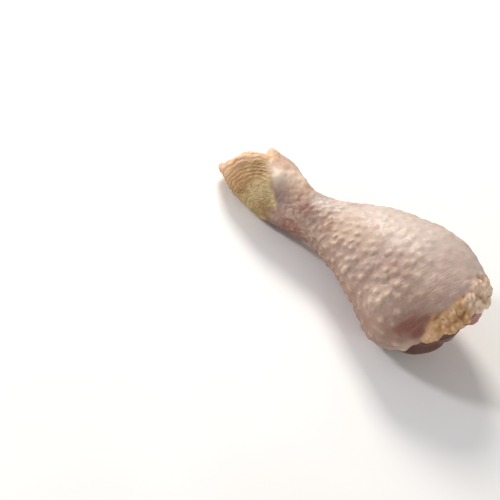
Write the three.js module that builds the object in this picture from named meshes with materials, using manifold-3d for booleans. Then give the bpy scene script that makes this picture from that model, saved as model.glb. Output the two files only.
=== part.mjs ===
// A raw chicken drumstick lying on its side: a sleeve of skin, the meat inside it and the bone through both.
// Lengths are in millimetres. +X runs from the sawn ankle to the thick knee end, and +Z is up from the floor.
// An angle of 0 round a section points along +Y, and a quarter turn points up.
import * as THREE from "three";
import { mergeVertices } from "three/addons/utils/BufferGeometryUtils.js";
import Module from "manifold-3d";

// Driving dimensions.
const BELLY_X = 92; // where the calf is thickest; past it the knee end rounds off
const KNEE_DEPTH = 33; // from there to the far end
const SKIN_THICKNESS = 1.5;
const FIT_GAP = 0.35; // clearance between two layers
const BONE_LENGTH = 94;
const SHAFT_RADIUS = 4;
const ANKLE_KNUCKLE_RADIUS = 7.6;
const KNEE_KNUCKLE_RADIUS = 9;

// Where the leg narrows and swells: half width, half height, and the centre's sideways and upward place.
const STATIONS = [
  { x: -6, width: 6.8, height: 6.8, side: 0.8, up: 11.0 }, // tip of the ankle
  { x: 6, width: 10.1, height: 9.8, side: 0.3, up: 11.2 },
  { x: 15, width: 11.7, height: 11.3, side: -0.9, up: 11.5 },
  { x: 24, width: 12.9, height: 12.4, side: -0.7, up: 11.8 }, // ankle knuckle
  { x: 32, width: 11.3, height: 10.9, side: -1.7, up: 12.3 },
  { x: 41, width: 9.8, height: 9.7, side: -1.8, up: 13.4 }, // neck
  { x: 52, width: 10.9, height: 11.4, side: 1.8, up: 15.1 },
  { x: 66, width: 18.3, height: 15.4, side: 3.8, up: 18.7 }, // calf
  { x: 80, width: 23.3, height: 19.5, side: 2.9, up: 20.8 },
  { x: BELLY_X, width: 26.6, height: 22.2, side: 2.7, up: 21.2 }, // belly
  { x: 104, width: 23.3, height: 19.5, side: 2.9, up: 20.8 }, // as at 80, so that the belly's widest is level
];
const BULGE = { x: 96.7, length: 9, angle: 3.47, spread: 0.67, height: 4.6 }; // muscle that swells out on one side

// The cuts: a plane through a point, facing out of the part.
const ANKLE_CUT = { point: [8.4, 0, 11.3], facing: [-0.83, 0.3, 0.47] };
const SKIN_EDGE_CUT = { point: [113, -10, 22.5], facing: [0.79, 0.05, -0.61] };
const MEAT_FACE_CUT = { point: [113, -10, 22.5], facing: [0.79, 0.05, -0.61] };
const MEAT_FACE_DOME = 1.4; // how far the cut meat still swells past its plane
const MEAT_SWELL = 0.6; // how far bare meat stands outside the leg's form
const MEAT_FLAP = { angle: 4.05, spread: 0.4, height: 5 }; // a loose end of muscle on the cut face
const SAWN_RECESS = 1.6; // the sawn meat's depth inside the skin's ankle edge

const COLUMNS = 44; // sides of every section
const SKIN_ROWS = 42;
const COVERED_ROWS = 14; // of the skin's inner wall, and of the meat under it
const BARE_ROWS = 10; // of the meat past the skin's edge
const BONE_SIDES = 18;

const FULL_TURN = 2 * Math.PI;
const QUARTER_TURN = Math.PI / 2;
const KNEE_ARC = 42; // length along the surface from the belly to the far end
const PATH_END = BELLY_X + KNEE_ARC;

// ---- The leg's outer form ----

const centreLine = new THREE.CatmullRomCurve3(
  STATIONS.map((s) => new THREE.Vector3(s.x, s.side, s.up)),
  false,
  "catmullrom",
);
const sizeLine = new THREE.CatmullRomCurve3(
  STATIONS.map((s) => new THREE.Vector3(s.x, s.width, s.height)),
  false,
  "catmullrom",
);

// The curve parameter at which a curve's x has this value; x grows along both curves.
function parameterAt(curve, x) {
  let low = 0;
  let high = 1;
  for (let step = 0; step < 30; step++) {
    const middle = (low + high) / 2;
    if (curve.getPoint(middle).x < x) low = middle;
    else high = middle;
  }
  return (low + high) / 2;
}

// The section at a distance along the leg: its centre, half width and half height.
function sectionAt(path) {
  const x = Math.min(path, BELLY_X);
  const centre = centreLine.getPoint(parameterAt(centreLine, x));
  const size = sizeLine.getPoint(parameterAt(sizeLine, x));
  return { centre, width: size.y, height: size.z };
}

// A smooth hump, 1 at its middle angle and about 0 beyond its spread.
function hump(angle, middle, spread) {
  const away = Math.atan2(Math.sin(angle - middle), Math.cos(angle - middle));
  return Math.exp(-((away / spread) ** 2));
}

// A point of the leg's surface, or of the surface that lies this far inside it.
// The part under the floor is pressed flat, as soft flesh is where it rests.
function surfacePoint(path, angle, inset = 0) {
  const { centre, width, height } = sectionAt(path);
  const turn = Math.max(0, (path - BELLY_X) / KNEE_ARC) * QUARTER_TURN;
  const shrink = Math.cos(turn);
  const along = Math.exp(-(((path - BULGE.x) / BULGE.length) ** 2));
  const grown = BULGE.height * hump(angle, BULGE.angle, BULGE.spread) * along - inset;
  const x = turn > 0 ? BELLY_X + (KNEE_DEPTH - inset) * Math.sin(turn) : path;
  const y = centre.y + (width + grown) * shrink * Math.cos(angle);
  const z = centre.z + (height + grown) * shrink * Math.sin(angle);
  return new THREE.Vector3(x, y, Math.max(z, Math.max(inset, 0)));
}

function planeOf(cut) {
  const facing = new THREE.Vector3(...cut.facing).normalize();
  return new THREE.Plane().setFromNormalAndCoplanarPoint(
    facing,
    new THREE.Vector3(...cut.point),
  );
}

const anklePlane = planeOf(ANKLE_CUT);
const skinEdgePlane = planeOf(SKIN_EDGE_CUT);
const meatFacePlane = planeOf(MEAT_FACE_CUT);

// The distance along the leg at which its surface comes this far past a plane.
// inside is a path that lies behind the plane, and outside one that lies past it.
function pathToPlane(plane, angle, past, inside, outside) {
  let near = inside;
  let far = outside;
  for (let step = 0; step < 30; step++) {
    const middle = (near + far) / 2;
    if (plane.distanceToPoint(surfacePoint(middle, angle)) < past) near = middle;
    else far = middle;
  }
  return (near + far) / 2;
}

// The skin's two torn edges waver a little, and at the ankle it stands out in three lobes.
function ankleEdge(angle) {
  const lobes = 0.8 * hump(angle, 3.85, 0.42) + 2.4 * hump(angle, 0.85, 0.45) + 1.3 * hump(angle, 2.3, 0.75);
  const waver = 0.5 * Math.sin(3 * angle + 1) + 0.3 * Math.sin(7 * angle);
  return pathToPlane(anklePlane, angle, lobes + waver, 40, -6);
}

function kneeEdge(angle) {
  const waver = 0.9 * Math.sin(2 * angle + 0.6) + 0.6 * Math.sin(5 * angle + 2) + 0.3 * Math.sin(11 * angle);
  return pathToPlane(skinEdgePlane, angle, waver, 70, PATH_END);
}

// ---- Meshes from rings of points ----

function ring(pointAt) {
  return Array.from({ length: COLUMNS }, (_, i) => pointAt((i / COLUMNS) * FULL_TURN));
}

// Joins neighbouring rings with quads, each split along its shorter diagonal. looped joins the last ring to
// the first; otherwise the two ends are closed by a fan to their centres.
function skinRings(rings, looped, endPoints = []) {
  const corners = rings.flat();
  const at = (row, column) => (row % rings.length) * COLUMNS + (column % COLUMNS);
  const faces = [];
  const rows = looped ? rings.length : rings.length - 1;
  for (let row = 0; row < rows; row++) {
    for (let column = 0; column < COLUMNS; column++) {
      const [a, b] = [at(row, column), at(row + 1, column)];
      const [c, d] = [at(row + 1, column + 1), at(row, column + 1)];
      const split = corners[a].distanceTo(corners[c]) < corners[b].distanceTo(corners[d]);
      faces.push(...(split ? [a, c, b, a, d, c] : [a, d, b, d, c, b]));
    }
  }
  endPoints.forEach((point, end) => {
    const tip = corners.push(point) - 1;
    const row = end === 0 ? 0 : rings.length - 1;
    for (let column = 0; column < COLUMNS; column++) {
      const [a, b] = [at(row, column), at(row, column + 1)];
      faces.push(...(end === 0 ? [tip, b, a] : [tip, a, b]));
    }
  });
  const geometry = new THREE.BufferGeometry().setFromPoints(corners);
  geometry.setIndex(faces);
  return geometry;
}

function share(from, to, part) {
  return from + (to - from) * part;
}

// ---- Skin ----

// A ring of the covered part, from the ankle's edge at 0 to the knee's at 1.
function coveredRing(part, inset) {
  return ring((angle) => surfacePoint(share(ankleEdge(angle), kneeEdge(angle), part), angle, inset));
}

function skinGeometry() {
  const outer = [];
  for (let i = 0; i <= SKIN_ROWS; i++) outer.push(coveredRing(i / SKIN_ROWS, 0));
  const inner = [];
  for (let i = COVERED_ROWS; i >= 0; i--) inner.push(coveredRing(i / COVERED_ROWS, SKIN_THICKNESS));
  return skinRings([...outer, ...inner], true);
}

// ---- Meat ----

const COVERED_INSET = SKIN_THICKNESS + FIT_GAP;

// The knee end is cut: what would lie past the plane is drawn back to a low dome.
function drawnBack(point) {
  const past = meatFacePlane.distanceToPoint(point);
  if (past <= 0) return point;
  const kept = MEAT_FACE_DOME * (1 - Math.exp(-past / MEAT_FACE_DOME));
  return point.addScaledVector(meatFacePlane.normal, kept - past);
}

// Past the skin's edge the meat swells out to the leg's full form.
function bareMeatPoint(angle, part) {
  const edge = kneeEdge(angle);
  const path = share(edge, PATH_END - 2, part ** 1.3);
  const swell = THREE.MathUtils.smoothstep(path, edge + 2, edge + 10);
  const point = drawnBack(surfacePoint(path, angle, share(COVERED_INSET, -MEAT_SWELL, swell)));
  const flap = MEAT_FLAP.height * hump(angle, MEAT_FLAP.angle, MEAT_FLAP.spread) * Math.sin(Math.PI * part);
  point.addScaledVector(meatFacePlane.normal, flap);
  point.z = Math.max(point.z, 0);
  return point;
}

// The meat before it is sawn: it starts at the tip of the ankle, past the sawn plane.
function meatSolidGeometry() {
  const rings = [ring((angle) => surfacePoint(STATIONS[0].x, angle, COVERED_INSET))];
  for (let i = 0; i <= COVERED_ROWS; i++) rings.push(coveredRing(i / COVERED_ROWS, COVERED_INSET));
  for (let i = 1; i <= BARE_ROWS; i++) {
    rings.push(ring((angle) => bareMeatPoint(angle, i / BARE_ROWS)));
  }
  const ankleEnd = sectionAt(STATIONS[0].x).centre;
  const kneeEnd = drawnBack(surfacePoint(PATH_END, 0, -MEAT_SWELL));
  return skinRings(rings, false, [ankleEnd, kneeEnd]);
}

// ---- Bone ----

// Half the bone's outline from the sawn ankle to the rounded knee knuckle, grown outwards by a clearance.
function boneOutline(clearance) {
  const radiusAt = (part) => {
    const ankle = (ANKLE_KNUCKLE_RADIUS - SHAFT_RADIUS) * Math.exp(-((part / 0.2) ** 2));
    const knee = (KNEE_KNUCKLE_RADIUS - SHAFT_RADIUS) * Math.exp(-(((1 - part) / 0.16) ** 2));
    return SHAFT_RADIUS + ankle + knee;
  };
  const steps = 16;
  const outline = [new THREE.Vector2(0, -clearance)];
  for (let i = 0; i <= steps; i++) {
    const part = i / steps;
    outline.push(new THREE.Vector2(radiusAt(part) + clearance, share(-clearance, BONE_LENGTH - 5, part)));
  }
  outline.push(new THREE.Vector2(KNEE_KNUCKLE_RADIUS * 0.55 + clearance, BONE_LENGTH - 1 + clearance));
  outline.push(new THREE.Vector2(0, BONE_LENGTH + clearance));
  return outline;
}

function boneGeometry(clearance) {
  return new THREE.LatheGeometry(boneOutline(clearance), BONE_SIDES);
}

// The bone runs from the middle of the sawn ankle to the middle of the belly.
const boneStart = new THREE.Vector3(-4, 0, 11.2);
const boneAim = new THREE.Vector3(104, 0, 22.5);

function placeAlongLeg(object) {
  const along = boneAim.clone().sub(boneStart).normalize();
  object.position.copy(boneStart);
  object.quaternion.setFromUnitVectors(new THREE.Vector3(0, 1, 0), along);
  object.updateMatrixWorld(true);
  return object;
}

// ---- Cuts made with solids ----

const wasm = await Module();
wasm.setup();

function solidOf(geometry, matrix = new THREE.Matrix4()) {
  const bare = geometry.clone().applyMatrix4(matrix);
  bare.deleteAttribute("normal");
  bare.deleteAttribute("uv");
  const merged = mergeVertices(bare, 1e-4);
  return new wasm.Manifold(
    new wasm.Mesh({
      numProp: 3,
      vertProperties: merged.attributes.position.array,
      triVerts: new Uint32Array(merged.index.array),
    }),
  );
}

function geometryOf(solid) {
  const { vertProperties, triVerts } = solid.getMesh();
  const geometry = new THREE.BufferGeometry();
  geometry.setAttribute("position", new THREE.BufferAttribute(vertProperties, 3));
  geometry.setIndex(new THREE.BufferAttribute(triVerts, 1));
  return geometry;
}

// A block that fills the side past the ankle's sawn plane, less the recess.
function beyondAnkle(recess) {
  const size = 80;
  const block = new THREE.Mesh(new THREE.BoxGeometry(size, size, size));
  block.quaternion.setFromUnitVectors(new THREE.Vector3(0, 0, 1), anklePlane.normal);
  block.position.set(...ANKLE_CUT.point).addScaledVector(anklePlane.normal, size / 2 - recess);
  block.updateMatrixWorld(true);
  return solidOf(block.geometry, block.matrixWorld);
}

function namedMesh(name, geometry, colour, roughness) {
  geometry.computeVertexNormals();
  const material = new THREE.MeshStandardMaterial({ color: colour, roughness, metalness: 0 });
  const mesh = new THREE.Mesh(geometry, material);
  mesh.name = name;
  return mesh;
}

function boneMesh() {
  const placed = placeAlongLeg(new THREE.Object3D());
  const whole = solidOf(boneGeometry(0), placed.matrixWorld);
  return namedMesh("bone", geometryOf(whole.subtract(beyondAnkle(1.2))), 0x8f3f3c, 0.4);
}

function meatMesh() {
  const placed = placeAlongLeg(new THREE.Object3D());
  const boneWay = solidOf(boneGeometry(FIT_GAP), placed.matrixWorld);
  const sawn = solidOf(meatSolidGeometry()).subtract(beyondAnkle(SAWN_RECESS));
  return namedMesh("meat", geometryOf(sawn.subtract(boneWay)), 0xd9918a, 0.35);
}

function skinMesh() {
  return namedMesh("skin", skinGeometry(), 0xe3c9ba, 0.45);
}

// ---- The part, with its origin at the bottom centre of its box ----

const drumstick = new THREE.Group();
drumstick.add(skinMesh(), meatMesh(), boneMesh());
const box = new THREE.Box3().setFromObject(drumstick);
const middle = box.getCenter(new THREE.Vector3());
drumstick.position.set(-middle.x, -middle.y, -box.min.z);

export default drumstick;
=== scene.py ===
# %% [markdown]
# # A raw chicken drumstick
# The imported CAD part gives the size, the place and the bodies: a sleeve of skin, the meat inside it and the
# bone. Those solids are plain, so this file makes a finer piece for each one and gives it the look of raw
# food. Nearly all of that look is relief: goose bumps, scales at the ankle, a lumpy fringe of fat at the
# cut edge. Relief could be sculpted by hand, or left to displacement in the shader. But a sculpt isn't a
# few rules, and displacement is lost when a model is exported, so here rules move the points themselves.

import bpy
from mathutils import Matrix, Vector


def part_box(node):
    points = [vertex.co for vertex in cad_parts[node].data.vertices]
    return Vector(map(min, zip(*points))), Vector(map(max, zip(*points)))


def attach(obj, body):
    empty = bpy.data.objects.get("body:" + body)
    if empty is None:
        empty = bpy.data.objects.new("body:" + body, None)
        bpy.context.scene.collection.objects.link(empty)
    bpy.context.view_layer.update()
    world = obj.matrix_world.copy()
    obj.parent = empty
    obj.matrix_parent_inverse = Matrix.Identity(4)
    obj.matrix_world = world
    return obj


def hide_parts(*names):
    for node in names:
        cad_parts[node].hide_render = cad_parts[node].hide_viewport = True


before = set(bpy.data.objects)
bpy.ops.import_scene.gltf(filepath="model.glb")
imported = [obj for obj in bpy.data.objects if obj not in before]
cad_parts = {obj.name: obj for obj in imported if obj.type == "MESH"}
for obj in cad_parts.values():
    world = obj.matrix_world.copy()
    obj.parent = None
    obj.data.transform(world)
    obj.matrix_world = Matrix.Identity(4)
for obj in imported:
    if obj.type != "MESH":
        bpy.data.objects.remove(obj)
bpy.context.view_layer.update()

# %% Tools
import math

import bmesh
import bpy
import numpy as np
from mathutils import Matrix, Vector

MM = 0.001


def span(values):
    """The lowest and highest value, to print."""
    return f"{values.min():.2f} to {values.max():.2f}"


def new_object(name, data):
    """An object in the scene, at the origin, with this mesh, camera or light."""
    made = bpy.data.objects.new(name, data)
    bpy.context.scene.collection.objects.link(made)
    return made


# %% [markdown]
# ## The form of the leg
# A leg is round in section and swells and narrows along its length, so a list of sections describes it:
# where each one is, half its width, half its height, and how far its middle lies to the side and above the
# floor. A lathed profile would be simpler, but a leg is wider than it is high, and bends. A smooth curve
# through the sections gives the form between them, and past the belly the knee end rounds off. These are
# the CAD part's own dimensions, in millimetres, so the finer pieces lie exactly where its solids are.

# %% Sections of the leg
SECTIONS = np.array([
    (-6, 6.8, 6.8, 0.8, 11.0),  # tip of the ankle
    (6, 10.1, 9.8, 0.3, 11.2),
    (15, 11.7, 11.3, -0.9, 11.5),
    (24, 12.9, 12.4, -0.7, 11.8),  # ankle knuckle
    (32, 11.3, 10.9, -1.7, 12.3),
    (41, 9.8, 9.7, -1.8, 13.4),  # neck
    (52, 10.9, 11.4, 1.8, 15.1),
    (66, 18.3, 15.4, 3.8, 18.7),  # calf
    (80, 23.3, 19.5, 2.9, 20.8),
    (92, 26.6, 22.2, 2.7, 21.2),  # belly
    (104, 23.3, 19.5, 2.9, 20.8),  # only makes the curve run level at the belly
])
BELLY = 92  # the knee end starts here
KNEE_DEPTH = 33  # how far the knee end reaches past the belly
KNEE_ARC = 42  # the way over the knee end, counted along the skin
PATH_END = BELLY + KNEE_ARC


def smooth_curve(stops, steps=24):
    """A Catmull-Rom curve through the stops, as a dense table."""
    before, after = 2 * stops[0] - stops[1], 2 * stops[-1] - stops[-2]
    line = np.concatenate([[before], stops, [after]])
    t = np.linspace(0, 1, steps, endpoint=False)[:, None]
    stretches = [
        0.5 * (2 * q + (r - p) * t + (2 * p - 5 * q + 4 * r - s) * t**2 + (3 * q - p - 3 * r + s) * t**3)
        for p, q, r, s in zip(line, line[1:], line[2:], line[3:])
    ]
    return np.concatenate(stretches + [stops[-1:]])


TABLE = smooth_curve(SECTIONS)
print("curve rows:", len(TABLE), "girth at the belly, mm:", round(math.pi * SECTIONS[9, 1:3].sum()))

# %% The leg's surface
MUSCLE_HEIGHT, MUSCLE_PATH, MUSCLE_ANGLE = 4.6, 96.7, 3.47  # a muscle that swells one side of the knee end


def section(path):
    """Half width, half height, side and up of the section at this distance along the leg."""
    x = np.minimum(path, BELLY)
    return [np.interp(x, TABLE[:, 0], TABLE[:, i]) for i in (1, 2, 3, 4)]


def hump(angle, middle, spread):
    """1 at the middle angle, and about 0 beyond its spread, counted the short way round."""
    away = np.arctan2(np.sin(angle - middle), np.cos(angle - middle))
    return np.exp(-((away / spread) ** 2))


def leg_point(path, angle, inset=0.0):
    """Points of the leg's surface, or of the one that lies this far inside it, pressed flat at the floor."""
    width, height, side, up = section(path)
    turn = np.clip((path - BELLY) / KNEE_ARC, 0, None) * math.pi / 2
    x = np.where(turn > 0, BELLY + (KNEE_DEPTH - inset) * np.sin(turn), path)
    muscle = MUSCLE_HEIGHT * hump(angle, MUSCLE_ANGLE, 0.67) * np.exp(-(((path - MUSCLE_PATH) / 9) ** 2))
    y = side + (width + muscle - inset) * np.cos(turn) * np.cos(angle)
    z = up + (height + muscle - inset) * np.cos(turn) * np.sin(angle)
    return np.stack([x, y, np.maximum(z, np.maximum(inset, 0))], axis=-1)


print("tip of the knee end, mm:", leg_point(np.array(float(PATH_END)), np.array(0.0)).round(1))

# %% [markdown]
# ## Where the skin ends
# The ankle was sawn off at a slant, and the thigh was cut away at the knee, so each end of the skin follows
# a plane. The two edges waver a little, as torn skin does. A boolean cut would give a sharp straight edge.
# Here the edge is found first, and the sheet of skin is then laid out to end on it. Halving the interval
# thirty times finds where the leg's surface meets a plane, for every angle round it at once.

# %% The two cuts
ANKLE_CUT = np.array([8.4, 0.0, 11.3]), np.array([-0.83, 0.3, 0.47])  # a point on it, and where it faces
SKIN_CUT = np.array([113.0, -10.0, 22.5]), np.array([0.79, 0.05, -0.61])


def unit(direction):
    return direction / np.linalg.norm(direction)


def beyond(cut, points):
    """How far points lie past a cut, in millimetres."""
    through, facing = cut
    return (points - through) @ unit(facing)


def meet(cut, at, past, inside, outside):
    """The distance along the leg at which the points that at() gives come this far past a cut."""
    near, far = np.full_like(past, inside), np.full_like(past, outside)
    for _ in range(30):
        middle = (near + far) / 2
        short = beyond(cut, at(middle)) < past
        near, far = np.where(short, middle, near), np.where(short, far, middle)
    return (near + far) / 2


def ankle_edge(angle):
    """The skin's edge at the sawn ankle, with three low lobes."""
    lobes = 0.8 * hump(angle, 3.85, 0.42) + 2.4 * hump(angle, 0.85, 0.45) + 1.3 * hump(angle, 2.3, 0.75)
    waver = 0.5 * np.sin(3 * angle + 1) + 0.3 * np.sin(7 * angle)
    return meet(ANKLE_CUT, lambda path: leg_point(path, angle), lobes + waver, 40.0, -6.0)


def knee_edge(angle):
    """The skin's edge at the knee."""
    waver = 0.9 * np.sin(2 * angle + 0.6) + 0.6 * np.sin(5 * angle + 2) + 0.3 * np.sin(11 * angle)
    return meet(SKIN_CUT, lambda path: leg_point(path, angle), waver, 70.0, float(PATH_END))


SKIN_COLUMNS = 289
around = np.linspace(0, 2 * math.pi, SKIN_COLUMNS)
print("ankle edge, mm:", span(ankle_edge(around)), "knee edge, mm:", span(knee_edge(around)))

# %% [markdown]
# ## From a flat sheet to a closed piece
# Every piece here is a tube of some kind, so each one starts as a flat grid of faces. Its points are moved
# to their places round the leg, the two sides of the sheet meet in a seam, and `remove_doubles` welds that
# seam shut. Rows whose points all fall together weld into a pole. Rings could be bridged or a profile spun
# instead, but the relief differs at every point, and on a grid each point has a row and a column of its own
# to read it from. Masks for the materials travel with the points.

# %% Roll a sheet
def roll_sheet(name, points, masks):
    """A welded mesh from a table of points, rows by columns, with one float attribute for each mask."""
    rows, columns = points.shape[:2]
    sheet = bmesh.new()
    bmesh.ops.create_grid(sheet, x_segments=rows - 1, y_segments=columns - 1, size=0.5)
    layers = {mask: sheet.verts.layers.float.new(mask) for mask in masks}
    for vert in sheet.verts:
        row = round((vert.co.x + 0.5) * (rows - 1))
        column = round((vert.co.y + 0.5) * (columns - 1))
        vert.co = points[row, column] * MM
        for mask, layer in layers.items():
            vert[layer] = masks[mask][row, column]
    bmesh.ops.remove_doubles(sheet, verts=sheet.verts, dist=0.01 * MM)
    bmesh.ops.recalc_face_normals(sheet, faces=sheet.faces)
    for face in sheet.faces:
        face.smooth = True
    mesh = bpy.data.meshes.new(name)
    sheet.to_mesh(mesh)
    sheet.free()
    print(name, "faces:", len(mesh.polygons), "triangles:", len(mesh.loops) - 2 * len(mesh.polygons))
    return new_object(name, mesh)


# %% [markdown]
# ## Soft irregularity
# Nothing on raw skin is even. A block of random numbers, read smoothly between its cells, gives lumps of
# any size in millimetres. A shader's noise looks the same, but it can't be read back here, where one lump
# has to shape the skin and colour it too. The generator is seeded, so each run gives the same drumstick.

# %% Noise
def noise(points, size, seed):
    """Smooth noise from -1 to 1 with lumps about this many millimetres across."""
    block = np.random.default_rng(seed).uniform(-1, 1, (24, 24, 24))
    cell = np.floor(points / size).astype(int)
    part = points / size - cell
    part = part * part * (3 - 2 * part)
    total = 0
    for step in np.ndindex(2, 2, 2):
        weight = np.prod(np.where(step, part, 1 - part), axis=-1)
        x, y, z = np.moveaxis((cell + step) % 24, -1, 0)
        total = total + weight * block[x, y, z]
    return total


def layered(points, size, seed):
    """Three sizes of noise in one."""
    return sum(noise(points, size / 2**i, seed + i) * 0.55**i for i in range(3))


# %% Soft steps
def ease(value, low, high):
    """0 below low, 1 above high, and smooth between."""
    t = np.clip((value - low) / (high - low), 0, 1)
    return t * t * (3 - 2 * t)


def soften(table, rounds):
    """Rounds off sharp ridges: each value drifts towards its neighbours along the rows and round the leg."""
    for _ in range(rounds):
        table[1:-1] = (table[:-2] + 2 * table[1:-1] + table[2:]) / 4
        ring = table[:, :-1]
        table[:, :-1] = (np.roll(ring, 1, axis=1) + 2 * ring + np.roll(ring, -1, axis=1)) / 4
        table[:, -1] = table[:, 0]
    return table


# %% [markdown]
# ## The skin's plain sleeve
# The sleeve has an outer and an inner wall, so the sheet goes along the outside, over the knee edge, back
# along the inside and round the thick rolled lip at the ankle, where its last row meets its first. A
# Solidify modifier could give the wall, but not one lip thicker than the other. The outside gets a row
# about every 0.4 mm, fine enough for goose bumps 2 mm wide; the hidden inside needs only a few.

# %% Rows of the sleeve
LIP = 1.35  # radius of the rolled ankle lip
EDGE = 0.75  # radius of the cut edge, half the skin's thickness
OUTSIDE_ROWS, INSIDE_ROWS = 296, 12

outside = np.linspace(0, 1, OUTSIDE_ROWS)
outside = outside - 0.22 * outside * (1 - outside)  # closer rows near the ankle, where the scales are
inside = np.linspace(1, 0, INSIDE_ROWS)[1:]
lip_turn = np.radians(np.linspace(-90, 90, 9))[1:-1]
edge_turn = np.radians(np.linspace(90, -90, 7))[1:]
row_share = np.concatenate([outside, np.ones(len(edge_turn)), inside, np.zeros(len(lip_turn)), [0]])
row_shift = np.concatenate([
    np.zeros(OUTSIDE_ROWS), EDGE * np.cos(edge_turn), np.zeros(len(inside)), -LIP * np.cos(lip_turn), [0],
])
row_inset = np.concatenate([
    np.zeros(OUTSIDE_ROWS),
    EDGE * (1 - np.sin(edge_turn)),
    2 * EDGE + 2 * (LIP - EDGE) * (1 - ease(inside, 0.0, 0.09)),
    LIP * (1 - np.sin(lip_turn)),
    [0],
])
starts = ankle_edge(around) + LIP
ends = knee_edge(around) - EDGE
path = starts + (ends - starts) * row_share[:, None] + row_shift[:, None]
angle = np.broadcast_to(around, path.shape)
inset = np.broadcast_to(row_inset[:, None], path.shape)
sleeve = leg_point(path, angle, inset)
print("sleeve rows and columns:", sleeve.shape[:2])

# %% Which way is out
def outward(points):
    """The direction out of a table of points that closes on itself round the leg."""
    ring = np.concatenate([points[:, -2:-1], points, points[:, 1:2]], axis=1)
    across = ring[:, 2:] - ring[:, :-2]
    along = np.gradient(points, axis=0)
    normal = np.cross(across, along)
    return normal / np.maximum(np.linalg.norm(normal, axis=-1, keepdims=True), 1e-9)


out = outward(sleeve)
top = OUTSIDE_ROWS // 2, SKIN_COLUMNS // 4  # half way along, and a quarter turn round, the skin faces up
if out[top][2] < 0:
    out = -out
skin_side = 1 - ease(inset, 0.2, 1.2)  # the outer wall, fading out round the two edges
print("at the top, out is:", out[top].round(2))

# %% [markdown]
# ## Places on the sleeve
# Relief and colour both need to say where something is. Two small helpers do it for every point at once: a
# sector is a strip along one side of the leg, and a spot is a soft round patch. Degrees count round the
# leg, with 90 at the top, and millimetres along it. Vertex groups could be painted instead, but rules still
# hold when the sheet's rows change.

# %% Sectors and spots
degrees = np.degrees(angle)


def sector(middle, spread):
    """1 along the middle, in degrees, fading out over a spread in radians."""
    return hump(angle, math.radians(middle), spread)


def arc_from(middle):
    """How far round the leg from the middle, in degrees, each point lies, in millimetres."""
    width, height, _, _ = section(path)
    away = angle - math.radians(middle)
    return np.arctan2(np.sin(away), np.cos(away)) * (width + height) / 2


def spot(along, middle, radius):
    """1 at a place along and round the leg, fading out over a radius in millimetres."""
    return np.exp(-((path - along) ** 2 + arc_from(middle) ** 2) / radius**2)


print("points within 10 mm of the belly's top:", int((spot(BELLY, 90, 10) > math.exp(-1)).sum()))

# %% [markdown]
# ## Goose bumps
# Each feather leaves a follicle, a small cream-coloured mound about 2 mm wide in a wider halo of pale skin.
# They stand in slanted rows, 3 mm apart at the neck and 5 mm on the belly, and each is set a little off its
# place. They are tallest along one side of the calf and nearly flat where the skin is stretched over the
# belly. Small meshes could be scattered for them, but a real mound is the skin itself, so they are added to
# the relief instead. They stand half above the sleeve and half in it, so that the leg grows no thicker.

# %% Place the follicles
FIRST_STATION, LAST_STATION = 44.0, 113
rng = np.random.default_rng(7)
follicles = []
station, ring_number = FIRST_STATION, 0
while station < LAST_STATION:
    width, height, _, _ = section(station)
    girth = math.pi * (width + height)
    spacing = 2.6 + 2.0 * float(ease(station, 44, 78))
    count = round(girth / spacing)
    for i in range(count):
        turn = (i + 0.5 * (ring_number % 2)) / count * 2 * math.pi + 0.05 * ring_number
        follicles.append((
            station + rng.normal(0, 0.13) * spacing,
            turn + rng.normal(0, 0.13) * spacing / (girth / (2 * math.pi)),
            rng.uniform(0.45, 1.1),  # height
            rng.uniform(0.9, 1.1) * (0.42 + 0.18 * spacing),  # radius
        ))
    station += 0.8 * spacing
    ring_number += 1
follicles = np.array(follicles)
print("follicles:", len(follicles))

# %% How tall they stand
SLANT_ALONG, SLANT_ROUND = 0.47, 0.88  # each mound is drawn out this way


def follicle_height(at, turn):
    """Tall on the calf, lower on the stretched belly, at the top and at the neck."""
    tall = 0.25 + 0.75 * hump(turn, math.radians(170), 1.0)
    stretched = ease(at, 88, 104) * hump(turn, math.radians(112), 0.8)
    return np.clip(tall * (1 - 0.55 * stretched) * (0.3 + 0.7 * ease(at, 44, 58)), 0.12, 1)


def bumps(path, angle):
    """The follicles' mounds, 0 to about 1, each drawn out along its slant, and the wider halo of each."""
    total, wider = np.zeros_like(path), np.zeros_like(path)
    heights = follicles[:, 2] * follicle_height(follicles[:, 0], follicles[:, 1])
    for row in range(OUTSIDE_ROWS):
        p, a = path[row][:, None], angle[row][:, None]
        close = np.abs(follicles[:, 0] - path[row].mean()) < 24
        f = follicles[close]
        width, height, _, _ = section(p)
        radius = np.hypot(width * np.sin(a), height * np.cos(a))
        turn = np.clip((p - BELLY) / KNEE_ARC, 0, 1) * math.pi / 2
        across = np.arctan2(np.sin(a - f[:, 1]), np.cos(a - f[:, 1])) * radius * np.cos(turn)
        lengthwise = SLANT_ALONG * (p - f[:, 0]) - SLANT_ROUND * across
        crosswise = SLANT_ROUND * (p - f[:, 0]) + SLANT_ALONG * across
        distance = (lengthwise / (1.2 * f[:, 3])) ** 2 + (crosswise / f[:, 3]) ** 2
        mound = np.exp(-distance) - 0.14 * np.exp(-distance / 5)
        total[row] = (mound * heights[close]).sum(axis=1)
        wider[row] = (np.exp(-distance / 5) * heights[close]).sum(axis=1)
    return total, wider


mounds, halos = bumps(path, angle)
mound_level = follicle_height(path, angle) * ease(path, 42, 50)
print("mounds:", span(mounds))

# %% [markdown]
# ## The scaly patch and the folds at the ankle
# Below the feathers a chicken's leg is covered in yellow scales. A patch of them is left at the ankle, with
# a ragged edge: in its middle are small flat plates, and from 10 mm away folds 1.7 mm apart lie round it in
# arcs, up to the sawn tip. Plates could be cut one by one, but a Voronoi pattern draws them all: a crease
# runs where two random points are equally near. It is laid out round the patch's middle, so the plates lie
# in arcs too.

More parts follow.
